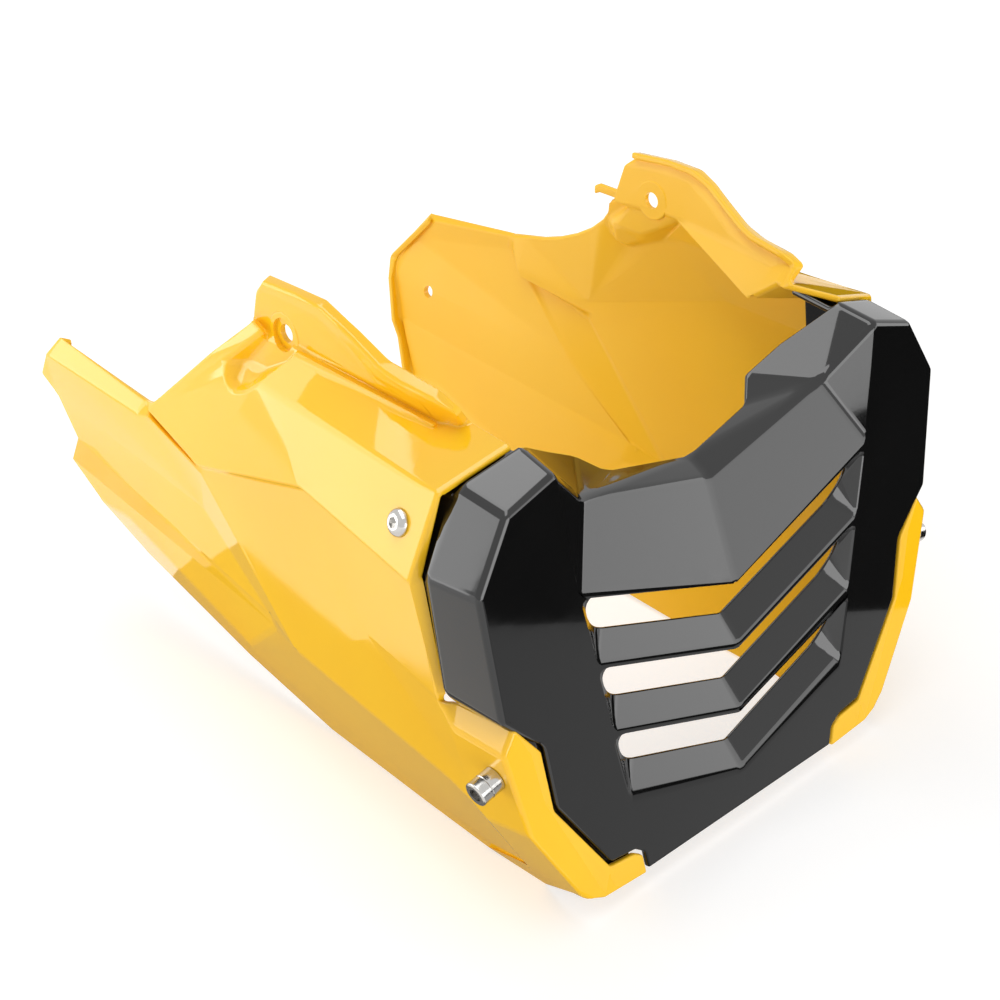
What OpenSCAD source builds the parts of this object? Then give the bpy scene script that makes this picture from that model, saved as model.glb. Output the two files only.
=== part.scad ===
// Engine guard fairing for a motorbike: two creased side panels, a louvred
// front grille between them, and the screws that hold the three mouldings.
// Millimetres, +Z up, the grille faces -Y, the mid-plane is X = 0.

/* [Overall size] */
// width over the widest crease, just behind the grille
overall_w = 266; // [220:1:320]
// length from the lower lip of the grille to the rear corner of a panel
overall_l = 346; // [290:1:420]
// height from the floor to the top of the ears
overall_h = 224; // [190:1:270]

/* [Side panels] */
// wall of the moulded side panels
panel_t = 2.8; // [2.2:0.1:3.6]
// how far the upper skin stands over the lower skin along the side
skin_step = 2.4; // [1.2:0.1:3.4]
// hole in the ear
ear_hole_d = 7.5; // [5:0.1:9]
// round pad moulded inside the ear, round its hole
ear_pad_d = 18; // [14:0.5:22]
// how far that pad stands in from the wall
ear_pad_h = 2; // [1:0.1:4]
// hole near the rear corner of the right panel
rear_hole_d = 6.4; // [4:0.1:8]

/* [Front grille] */
// wall of the moulded grille
grille_t = 3; // [2.4:0.1:3.6]
// how far the face leans back for each millimetre of height
lean = 0.13; // [0.05:0.01:0.2]
// number of louvres
louvres = 3; // [2:1:4]
// height of the first louvre's front edge on the mid-plane
louvre_z = 84; // [78:0.5:90]
// drop from one louvre to the next
louvre_pitch = 29.3; // [26:0.1:32]
// half length of the first louvre's front edge
louvre_half = 77; // [70:0.5:82]
// how much shorter each half gets from one louvre to the next
louvre_taper = 5.8; // [3:0.1:7]
// rise of the vee for each millimetre outwards
vee = 0.34; // [0.2:0.01:0.42]
// how far the top of a louvre sits behind the face
louvre_depth = 7; // [4:0.1:9]
// rise of a louvre from its front edge to its top edge
louvre_rise = 10; // [7:0.1:13]
// strip of face left under each louvre
louvre_lip = 2.8; // [2:0.1:4]

/* [Fasteners] */
// thread of the button and cap screws
screw_d = 6; // [4:0.5:6]
// clearance round the shanks
screw_gap = 0.3; // [0.2:0.05:0.5]
// button head
button_d = 10.5; // [8:0.1:12]
// cap head
cap_d = 10; // [8:0.1:12]
// height of the cap head
cap_h = 4.8; // [3:0.1:7]
// collar under the cap head
collar_l = 5.6; // [4:0.1:10]
// grip of the shanks past the panel
grip = 11; // [8:0.5:14]

/* [Fit] */
// gap kept between the grille and the panels
seat_gap = 0.6; // [0.3:0.1:1]

/* [Hidden] */
kx = overall_w / 266;
ky = overall_l / 346;
kz = overall_h / 224;
y_mid = 172.25;
yellow = [0.98, 0.72, 0.1];
black = [0.07, 0.07, 0.075];
steel = [0.8, 0.8, 0.82];

// a corner given as it is at the sizes above: outwards, rearwards, up
function g(x, y, z) = [x * kx, (y - y_mid) * ky, z * kz];
// a corner on the leaning face of the grille, set back by d
function f(x, z, d = 0) = [x * kx, (-1.5 - y_mid) * ky + lean * z * kz + d, z * kz];

// thin creased shells
function unit(v) = v / max(norm(v), 0.000001);
function tri_list(F) = [for (p = F, i = [1:len(p) - 2]) [p[0], p[i], p[i + 1]]];
function firsts(L) = [for (i = [0:len(L) - 1])
    if (len([for (j = [0:1:i - 1]) if (L[j] == L[i]) 1]) == 0) L[i]];
function place(L, p) = [for (i = [0:len(L) - 1]) if (L[i] == p) i][0];
function tri_n(t) = unit(cross(t[1] - t[0], t[2] - t[0]));
function corner_a(t, p) = let (k = t[0] == p ? 0 : t[1] == p ? 1 : 2,
    u = unit(t[(k + 1) % 3] - t[k]), v = unit(t[(k + 2) % 3] - t[k]))
    acos(max(-1, min(1, u * v)));
function total(L, i = 0) = i == len(L) - 1 ? L[i] : L[i] + total(L, i + 1);
// moves a corner inwards so each wall that meets there ends up t thick
function inset(T, p, t) = let (own = [for (q = T) if (q[0] == p || q[1] == p || q[2] == p) q],
    n = unit(total([for (q = own) tri_n(q) * corner_a(q, p)])),
    c = total([for (q = own) (tri_n(q) * n) * corner_a(q, p)])
        / total([for (q = own) corner_a(q, p)]))
    p - n * t / max(c, 0.45);

module shell(F, t) {
    T = tri_list(F);
    P = firsts([for (q = T, p = q) p]);
    N = len(P);
    I = [for (q = T) [place(P, q[0]), place(P, q[1]), place(P, q[2])]];
    E = [for (q = I, k = [0:2]) [q[k], q[(k + 1) % 3]]];
    R = [for (e = E) if (len([for (o = E) if (o[0] == e[1] && o[1] == e[0]) 1]) == 0) e];
    polyhedron(
        points = concat(P, [for (p = P) inset(T, p, t)]),
        faces = concat(
            [for (q = I) [q[0], q[2], q[1]]],
            [for (q = I) [q[0] + N, q[1] + N, q[2] + N]],
            [for (e = R) [e[0], e[1], e[1] + N]],
            [for (e = R) [e[0], e[1] + N, e[0] + N]]),
        convexity = 12);
}

// side panel
// front edge, from the top inner corner down to the front wrap
A0 = g(92, 43.5, 194.3);
A1 = g(122, 48.2, 184.6);
A2 = g(133, 52, 151);
A3 = g(126.2, 46.0, 102.3);
A4 = g(125.4, 45.3, 99.3);
T1 = g(121.7, 40.6, 96.9);
TL = g(125.8, 38.7, 91.9);
// front wrap over the lower corner of the grille
T2 = f(120.5, 99.5);
F1 = f(126, 94);
F2 = f(117.5, 56);
F3 = f(94, 15.5);
W1 = f(107.8, 87.5);
W2 = f(104, 60);
W3 = f(77.8, 20.6);
W4 = f(64.5, 19);
W5 = f(60, 16);
W6 = f(58.5, 7);
X1 = f(82, 8.5);
X2 = f(91, 12.5);
SW = g(120.3, 36.5, 66.1);

// creases of the lower skin, front to rear
C4M = g(121.1, 90.4, 103.4);
C3E = g(98.4, 31.5, 19.1);
C3F = g(115.8, 31.0, 48.1);
C3G = g(118.0, 37.5, 54.7);
C3D = g(118.5, 48.6, 58.7);
C3C = g(111.3, 153.6, 60.6);
C3B = g(114.6, 208.3, 124.0);
C3A = g(115.5, 243.3, 137.2);
G1 = g(110.2, 213.5, 102.2);
G2 = g(110.1, 175.4, 72.6);
C5E = g(110.1, 169.0, 69.6);
C5F = g(107.5, 171, 61);
// overhanging lower edge of the upper skin, and its foot
C2A = g(113.1, 247.4, 137.8);
C2B = g(119.0, 202.2, 131.1);
C2C = g(124.8, 124.6, 156.0);
D2A = C2A + [-skin_step, 0, -0.9];
D2B = C2B + [-skin_step, 0, -0.9];
D2C = C2C + [-skin_step, 0, -0.9];
D2D = A2 + [-skin_step, 0, -0.9];
// rear of the panel
RL = g(108.9, 345.2, 117.6);
NO = g(104.6, 341.2, 106.8);
W1R = g(101, 334, 85.8);
W2R = g(103.8, 331, 77);
RB = g(98.9, 323.3, 54.9);
OB1 = g(112.3, 331.7, 133.8);
RT = g(111, 318, 147);
// return turned in along the rear edge
NT = g(106.5, 316.5, 145);
NL = g(103, 344.2, 117);
NN = g(98, 340.4, 106.5);
NW = g(93.5, 333.4, 85.8);
NX = g(94.5, 330, 76.5);
NB2 = g(91.5, 322.5, 55.5);
// lower edge of the rail and the edge turned in under it
L1 = g(99.5, 297.7, 56.8);
L2 = g(97.5, 207, 29.3);
L3 = g(95.5, 119.1, 17.5);
L4 = g(94, 76.6, 10.7);
M0 = g(93, 318.2, 44);
M1 = g(91, 296.2, 32.6);
M2 = g(89, 220.7, 12.1);
M3 = g(88.5, 162.8, 2);
M4 = g(88.5, 98.8, 0);
M5 = g(89, 60, 0);
B2 = g(94.2, 33.7, 11.7);
B1 = g(91.7, 18.9, 9.3);

// top band of the ear, inner edge then outer edge
N1 = g(94, 60, 196.6);
N2 = g(95.3, 68, 202.4);
N3 = g(99.8, 98, 214);
N4 = g(103.7, 127, 223.6);
N5 = g(99.4, 169, 221.3);
O1 = g(97, 67.5, 195);
O2 = g(104.5, 98, 211.5);
O3 = g(111.5, 130, 222.3);
O4 = g(109.3, 166.5, 220);
// plate under the band
Q1 = g(94.5, 71, 191.5);
Q2 = g(101, 98, 206.5);
Q3 = g(106.5, 130, 217.5);
Q4 = g(104.5, 167, 215.5);
KP = g(103.6, 171.5, 204.5);
// ridge beside the recessed channel, and its foot
R1 = g(98.5, 74, 193.6);
R2 = g(107.5, 143, 200.8);
V1 = g(96, 75.5, 191.6);
V2 = g(105.2, 143.5, 198.3);
// scooped pocket below the ear: rim, then floor
U1 = g(110, 153, 190.5);
U2 = g(114.5, 161.4, 182.3);
U3 = g(114.7, 170.9, 175.2);
U4 = g(114.3, 179.9, 171.8);
U5 = g(113.1, 185.8, 174.5);
U6 = g(111.8, 188.2, 179.8);
U7 = g(110.3, 175.5, 191.5);
E1 = g(105, 153, 191);
E2 = g(109.5, 160.5, 184.5);
E3 = g(109.3, 170.4, 178);
E4 = g(108.4, 179, 174.3);
E5 = g(107.6, 183.3, 176);
E6 = g(106.9, 184.3, 180.5);
E7 = g(104.8, 173, 193);
K1 = g(107.3, 172.2, 204);
// rear outline: a straight vee on the left, a swept dip on the right
VAL = g(112.6, 243.2, 142.3);
B0L = g(110.0, 252.0, 139.5);
OB0L = g(114.5, 253.3, 133.5);
B0R = g(111.3, 254, 154.5);
OB0R = g(114, 257, 146.5);
DIP_L = [g(110.6, 199.6, 180.1), VAL];
DIP_R = [g(108.4, 187.2, 191.5), g(109.2, 188.5, 186.5), g(110.2, 193, 180.3), g(111, 201, 173.5),
    g(111.5, 211, 167.5), g(111.8, 222, 162.5), g(111.9, 234, 158.5), g(111.7, 246, 156)];

function lower_skin() = [
    // front wrap
    [T2, F1, F2, W2, W1], [F2, F3, W3, W2], [F3, X2, X1, W3], [X1, W6, W5, W4, W3],
    // corner of the wrap and its side
    [T2, T1, TL, F1], [A4, TL, T1],
    [TL, SW, F2, F1], [SW, C3G, C3F, F2],
    [C3F, C3E, F3, F2], [C3E, B2, B1, F3], [F3, B1, X2],
    // two facets below the upper skin
    [A2, D2D, A3], [D2D, D2C, C4M, A3], [A3, C4M, A4],
    [C4M, C3D, C3G, SW], [C4M, SW, TL, A4],
    [D2C, D2B, C3B, C3C, C4M], [C3C, C3D, C4M], [D2B, D2A, C3A, C3B],
    // step under the upper skin
    [A2, C2C, D2C, D2D], [C2C, C2B, D2B, D2C], [C2B, C2A, D2A, D2B],
    // wall of the long ridge
    [C3B, C3A, G1], [C3C, C3B, G1, G2], [C3C, G2, C5E],
    // undercut stripe over the rail, then the rail and the edge under it
    [C5E, W1R, C5F], [C3C, C5E, C5F],
    [C5F, W1R, W2R, RB, L1, L2], [C3C, C5F, L2, L3], [C3D, C3C, L3, L4], [C3G, C3D, L4, C3E],
    [C3F, C3G, C3E],
    [L1, RB, M0, M1], [L2, L1, M1, M2], [L3, L2, M2, M3], [L3, M3, M4, L4],
    [L4, M4, M5, C3E], [C3E, M5, B2],
    // rear return
    [RT, NT, NL, RL], [RL, NL, NN, NO], [NO, NN, NW, W1R], [W1R, NW, NX, W2R],
    [W2R, NX, NB2, RB], [RB, NB2, M0]];

function top_skin() = [
    // top chamfer beside the channel, front to rear
    [A1, U2, U1, R2], [A1, R2, R1], [A1, R1, O1], [A1, O1, N1, A0],
    // upper side facet
    [A1, A2, C2C], [A1, C2C, U2],
    // band
    [N1, O1, N2], [N2, O1, O2, N3], [N3, O2, O3, N4], [N4, O3, O4, N5],
    // step under the band, plate, ridge
    [O1, Q1, Q2, O2], [O2, Q2, Q3, O3], [O3, Q3, Q4, O4],
    [R1, V1, Q1, O1], [R1, R2, V2, V1], [R2, U1, E1, V2],
    [V1, V2, Q2, Q1], [V2, Q3, Q2], [V2, E1, Q3], [E1, Q4, Q3], [E1, KP, Q4],
    // pocket
    [E1, E7, KP], [E1, E2, E6, E7], [E2, E3, E5, E6], [E3, E4, E5],
    [U1, U2, E2, E1], [U2, U3, E3, E2], [U3, U4, E4, E3], [U4, U5, E5, E4],
    [U5, U6, E6, E5], [U6, U7, E7, E6], [U7, K1, KP, E7]];

function rear_skin(D, B0, OB0) = let (n = len(D) - 1) concat([
    [U2, C2C, C2B], [U3, U2, C2B], [U4, U3, C2B], [U5, U4, C2B],
    [U5, C2B, D[n]], [D[n], C2B, C2A]],
    [for (i = [0:n - 1]) [U6, D[i + 1], D[i]]],
    [[U6, U5, D[n]], [U7, U6, D[0]], [U7, D[0], K1],
    // rear band and facet behind the ridge
    [D[n], C2A, D2A, B0], [B0, D2A, C3A, OB0],
    [OB0, OB1, RT, B0],
    [OB0, C3A, G1], [OB0, G1, OB1], [G1, G2, W1R], [G1, W1R, NO], [G1, NO, OB1], [NO, RL, OB1],
    [G2, C5E, W1R], [RT, OB1, RL]]);

// the same faces seen from their other side
function turned(F) = [for (p = F) [for (i = [len(p) - 1:-1:0]) p[i]]];
module side_shell(right) {
    shell(concat(turned(lower_skin()), top_skin(), right
        ? rear_skin(DIP_R, B0R, OB0R) : rear_skin(DIP_L, B0L, OB0L)), panel_t);
}

// screw seats: a point on the panel and the way the screw faces out
button_at = A1 + 0.338 * (A2 - A1) + 0.19 * (C2C - A1);
button_n = unit(cross(A2 - A1, C2C - A1));
cap_at = TL + 0.293 * (F1 - TL) + 0.371 * (F2 - TL);
cap_n = unit(cross(F1 - TL, F2 - TL));
// frame with Z out along n, origin at p
module seat(p, n) {
    a = unit(cross([0, 0, 1], n));
    b = cross(n, a);
    multmatrix([[a.x, b.x, n.x, p.x], [a.y, b.y, n.y, p.y], [a.z, b.z, n.z, p.z], [0, 0, 0, 1]])
        children();
}
module both() { children(); mirror([1, 0, 0]) children(); }

// where things sit on the panel
ear_at = g(105, 155.9, 201.6);
rear_at = g(109.5, 313, 106);

// spur behind the right ear
module spur() {
    translate([105.8 * kx, 0, 0]) rotate([90, 0, 90]) linear_extrude(height = 2.3)
        polygon([for (p = [[180, 196.5], [182, 193], [186.4, 192], [190.4, 193], [193.4, 194.2],
            [193.5, 195.8], [191.8, 197], [186.2, 197.8], [181.5, 197.2]])
            [(p[0] - y_mid) * ky, p[1] * kz]]);
}

module side_panel(right) {
    color(yellow)
    difference() {
        union() {
            side_shell(right);
            if (right) spur();
            // pad inside the ear
            translate(ear_at - [panel_t + ear_pad_h, 0, 0]) rotate([0, 90, 0])
                cylinder(d = ear_pad_d, h = ear_pad_h + panel_t * 0.6, $fn = 48);
        }
        translate(ear_at - [20, 0, 0]) rotate([0, 90, 0])
            cylinder(d = ear_hole_d, h = 40, $fn = 48);
        seat(button_at, button_n) translate([0, 0, -12])
            cylinder(d = screw_d + 2 * screw_gap, h = 24, $fn = 40);
        seat(cap_at, cap_n) translate([0, 0, -12])
            cylinder(d = screw_d + 2 * screw_gap, h = 24, $fn = 40);
        if (right) translate(rear_at - [20, 0, 0]) rotate([0, 90, 0])
            cylinder(d = rear_hole_d, h = 40, $fn = 48);
    }
}

module left_side_panel() mirror([1, 0, 0]) side_panel(false);
module right_side_panel() side_panel(true);

// front grille
// foot of the hood, its crease and its rear edge
H0 = f(0, 110.6);
HB = f(84, 141.2);
HM = g(0, 30.4, 150.5);
HT = g(68.2, 31.6, 168.4);
NB = g(66, 51.5, 179);
NC = g(49, 54.8, 169.5);
ND = g(39.5, 46.7, 162.6);
NE = g(0, 41, 156.3);
// outline of the face and, behind it, the rear edge of the rim
FA = f(90, 190.5);
FB = f(113.5, 183.5);
FC = f(129.6, 158);
FD = f(124.8, 106);
FE = f(121, 102.2);
GA = g(88.4, 41.4, 193.6);
GB = g(114.6, 45, 185.9);
GC = g(132, 44, 156.7);
GD = g(128.8, 39.5, 109);
GE = g(123.6, 36.5, 102.2);
// edge of the face beside the yellow wraps
VA = f(106.4, 89.2);
VB = f(102.6, 60.4);
VC = f(77.2, 22.1);
VD = f(64.3, 20.6);
VE = f(58.8, 17);
VF = f(57.3, 8.3);
BC = f(0, 8.3);
// flange behind the wraps
back = panel_t + seat_gap;
JE = f(116, 98, back);
JA = f(106.4, 89.2, back);
JB = f(102.6, 60.4, back);
JC = f(77.2, 22.1, back);
JD = f(64.3, 20.6, back);
KA = f(118.6, 91, back);
KB = f(111.6, 58, back);
KC = f(88.5, 21.5, back);
KD = f(80, 14, back);
KE = f(64, 12, back);
// leg of that flange along the side of the wrap
LA = g(119, 31, 88);
LB = g(113.2, 31, 62);
// flange under the side panels
PA = g(88.6, 45, 190.2);
PB = g(117.8, 49, 180.8);
PC = g(127, 49, 152);
PD = g(122.8, 44, 108);
QA = g(90.5, 66, 191.6);
QB = g(116.6, 78, 180.6);
QC = g(124, 80, 152.5);
QD = g(119.6, 66, 110);

function half_face() = [
    [HB, FB, FA], [HB, FC, FB], [HB, FD, FC], [HB, FE, FD], [HB, VA, FE], [HB, VB, VA],
    [HB, VC, VB], [HB, VD, VC], [H0, VD, HB], [H0, VE, VD], [H0, VF, VE], [H0, BC, VF],
    // hood, the facets beside it and its top
    [HM, H0, HB, HT], [HB, FA, HT], [FA, GA, HT], [GA, NB, HT], [HT, NB, NC], [HT, NC, ND],
    [HT, ND, NE], [HT, NE, HM],
    // rim
    [FB, GB, GA, FA], [FC, GC, GB, FB], [FD, GD, GC, FC], [FE, GE, GD, FD],
    // step down to the flange, and the flange
    [GA, GB, PB], [GA, PB, PA], [GB, GC, PC, PB], [GC, GD, PD, PC],
    [PA, PB, QB, QA], [PB, PC, QC, QB], [PC, PD, QD, QC],
    // step back behind the wraps, and the flange there
    [VA, JA, JE, FE], [VB, JB, JA, VA], [VC, JC, JB, VB], [VD, JD, JC, VC],
    [JA, KA, JE], [JB, KB, KA, JA], [JC, KC, KB, JB], [JC, KD, KC], [JD, KE, KD, JC],
    [KA, KB, LB, LA]];
function mirrored(F) = [for (p = F) [for (i = [len(p) - 1:-1:0]) [-p[i].x, p[i].y, p[i].z]]];

// louvre i: height of its front edge at x, and half its length
function zf(i, x) = louvre_z - i * louvre_pitch + vee * abs(x);
function hl(i) = louvre_half - i * louvre_taper;
function zt(i, x) = zf(i, x) + louvre_pitch - louvre_lip;

// opening in the face over louvre i
module window(i) {
    a = hl(i - 1);
    b = hl(i);
    translate([0, -y_mid * ky - 30, 0]) rotate([90, 0, 0]) mirror([0, 0, 1])
        linear_extrude(height = 66)
            polygon([[-a * kx, zt(i, a) * kz], [0, zt(i, 0) * kz], [a * kx, zt(i, a) * kz],
                [b * kx, zf(i, b) * kz], [0, zf(i, 0) * kz], [-b * kx, zf(i, b) * kz]]);
}
// closed body through rings of corners that all have the same count
module through(R) {
    n = len(R[0]);
    m = len(R);
    polyhedron(points = [for (r = R, p = r) p],
        faces = concat([[for (k = [n - 1:-1:0]) k]], [[for (k = [0:n - 1]) (m - 1) * n + k]],
            [for (j = [0:m - 2], k = [0:n - 1]) [j * n + k, j * n + (k + 1) % n,
                (j + 1) * n + (k + 1) % n]],
            [for (j = [0:m - 2], k = [0:n - 1]) [j * n + k, (j + 1) * n + (k + 1) % n,
                (j + 1) * n + k]]));
}
inner = 7.5;
// slat i leans back from its front edge on the face
function ring(i, s) = let (b = s * hl(i), c = s * (hl(i) - inner), z = abs(s) * vee) [
    f(b, zf(i, b)),
    f(c, zf(i, c) + louvre_rise, louvre_depth),
    f(c, zf(i, c) + louvre_rise - 2.4, louvre_depth + 1.6),
    f(b, zf(i, b) - louvre_lip + 0.4, grille_t - 0.4),
    f(b, zf(i, b) - louvre_lip + 0.8, 0.3)];
module slat(i) {
    through([ring(i, -1), [f(0, zf(i, 0)), f(0, zf(i, 0) + louvre_rise, louvre_depth),
        f(0, zf(i, 0) + louvre_rise - 2.4, louvre_depth + 1.6),
        f(0, zf(i, 0) - louvre_lip + 0.4, grille_t - 0.4),
        f(0, zf(i, 0) - louvre_lip + 0.8, 0.3)], ring(i, 1)]);
}
// wall that closes the end of a slot, from the face back to the slat
module slot_end(i) {
    a = hl(i - 1);
    b = hl(i);
    q = [f(a + 0.6, zt(i, a) + 0.6, 0.3), f(b + 0.6, zf(i, b) - 1, 0.3),
        f(b - inner - 0.5, zf(i, b - inner) + louvre_rise - 1, louvre_depth + 0.4),
        f(a - inner - 5, zt(i, a - inner - 5) + 1.2, louvre_depth + 0.4)];
    through([[for (p = q) p + [1.2, grille_t - 0.4, 0]], q]);
}

module front_grille() {
    color(black)
    difference() {
        union() {
            difference() {
                shell(concat(half_face(), mirrored(half_face())), grille_t);
                for (i = [0:louvres - 1]) window(i);
            }
            for (i = [0:louvres - 1]) {
                slat(i);
                both() slot_end(i);
            }
            both() {
                // bosses the button screws bite into
                seat(button_at, button_n) translate([0, 0, -back - 9])
                    cylinder(d = screw_d + 5, h = 9, $fn = 40);
                // lugs the cap screws bite into
                seat(cap_at, cap_n) translate([0, 0, -back - 9])
                    cylinder(d = screw_d + 5, h = 9, $fn = 40);
            }
        }
        both() {
            seat(button_at, button_n) translate([0, 0, -20])
                cylinder(d = screw_d + 0.1, h = 21, $fn = 40);
            seat(cap_at, cap_n) translate([0, 0, -20])
                cylinder(d = screw_d + 0.1, h = 21, $fn = 40);
        }
    }
}

// fasteners
lift = 0.15;
module button_screw() {
    color(steel)
    seat(button_at, button_n) translate([0, 0, lift]) difference() {
        rotate_extrude($fn = 64)
            polygon([[0, -panel_t - grip], [screw_d / 2 - 0.5, -panel_t - grip],
                [screw_d / 2, 0.5 - panel_t - grip], [screw_d / 2, 0], [button_d / 2, 0],
                [button_d * 0.49, 0.9], [button_d * 0.43, 1.9], [button_d * 0.34, 2.7],
                [button_d * 0.25, 3.1], [0, 3.1]]);
        translate([0, 0, 1.1]) cylinder(d = 4.6, h = 4, $fn = 6);
    }
}
module spacer_collar() {
    color(steel)
    seat(cap_at, cap_n) translate([0, 0, lift]) difference() {
        cylinder(d = cap_d, h = collar_l, $fn = 64);
        translate([0, 0, -1]) cylinder(d = screw_d + 2 * screw_gap, h = collar_l + 2, $fn = 64);
    }
}
module cap_screw() {
    c = collar_l + 0.05;
    color(steel)
    seat(cap_at, cap_n) translate([0, 0, lift]) difference() {
        rotate_extrude($fn = 64)
            polygon([[0, -panel_t - grip], [screw_d / 2 - 0.5, -panel_t - grip],
                [screw_d / 2, 0.5 - panel_t - grip], [screw_d / 2, c], [cap_d / 2, c],
                [cap_d / 2, c + cap_h - 0.6], [cap_d / 2 - 0.6, c + cap_h], [0, c + cap_h]]);
        translate([0, 0, c + cap_h - 2.6]) cylinder(d = 5.8, h = 4, $fn = 6);
    }
}
module left_button_screw() mirror([1, 0, 0]) button_screw();
module right_button_screw() button_screw();
module left_cap_screw() mirror([1, 0, 0]) cap_screw();
module right_cap_screw() cap_screw();
module left_spacer_collar() mirror([1, 0, 0]) spacer_collar();
module right_spacer_collar() spacer_collar();

left_side_panel();
right_side_panel();
front_grille();
left_button_screw();
right_button_screw();
left_cap_screw();
right_cap_screw();
left_spacer_collar();
right_spacer_collar();
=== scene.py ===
"""Belly fairing for a motorbike: two creased yellow side panels, a black louvred grille and the screws
that hold them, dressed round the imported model. Corners are in millimetres, in the part's own terms:
outwards from the mid-plane, rearwards from the grille's lower lip, and up."""

import math

import bmesh
import bpy
from mathutils import Matrix, Vector


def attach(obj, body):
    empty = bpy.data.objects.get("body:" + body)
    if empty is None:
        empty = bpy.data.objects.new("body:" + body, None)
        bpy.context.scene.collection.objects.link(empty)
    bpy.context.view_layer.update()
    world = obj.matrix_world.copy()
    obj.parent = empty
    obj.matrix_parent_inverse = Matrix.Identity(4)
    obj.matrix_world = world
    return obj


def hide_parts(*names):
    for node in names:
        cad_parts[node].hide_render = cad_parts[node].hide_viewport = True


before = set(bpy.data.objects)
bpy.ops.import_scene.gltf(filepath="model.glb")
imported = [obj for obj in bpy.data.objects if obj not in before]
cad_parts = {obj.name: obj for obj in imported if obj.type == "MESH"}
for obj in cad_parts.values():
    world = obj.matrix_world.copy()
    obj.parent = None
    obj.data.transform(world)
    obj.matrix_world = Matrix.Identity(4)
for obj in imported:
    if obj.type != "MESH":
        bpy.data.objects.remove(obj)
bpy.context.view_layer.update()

MM = 0.001
RIGHT, LEFT = 1, -1
LIP_TO_MIDDLE = 172.25   # the row's zero lies this far behind the grille's lower lip
LIP = -1.5               # where the grille's leaning face would meet the floor
LEAN = 0.13              # how far the face leans back for each millimetre of height
PANEL_WALL, GRILLE_WALL, LOUVRE_WALL = 2.8, 3.0, 2.0

# widths that round the creases and the rims, and how much of a facet they may take
PANEL_CREASE, GRILLE_CREASE, RIM = 2.2, 2.4, 1.1
PANEL_SHARE, GRILLE_SHARE = 0.34, 0.42
LEAST_CREASE = 9         # degrees; flatter creases stay as they are
FLAT = 1.5               # degrees; facets of a panel that fold by less than this become one


def face(x, z, behind=0):
    """A corner on the leaning face of the grille, or behind it."""
    return (x, LIP + LEAN * z + behind, z)


def place(corner, side=RIGHT):
    """A corner in the row frame, in metres."""
    x, y, z = corner
    return Vector((side * x, y - LIP_TO_MIDDLE, z)) * MM


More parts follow.
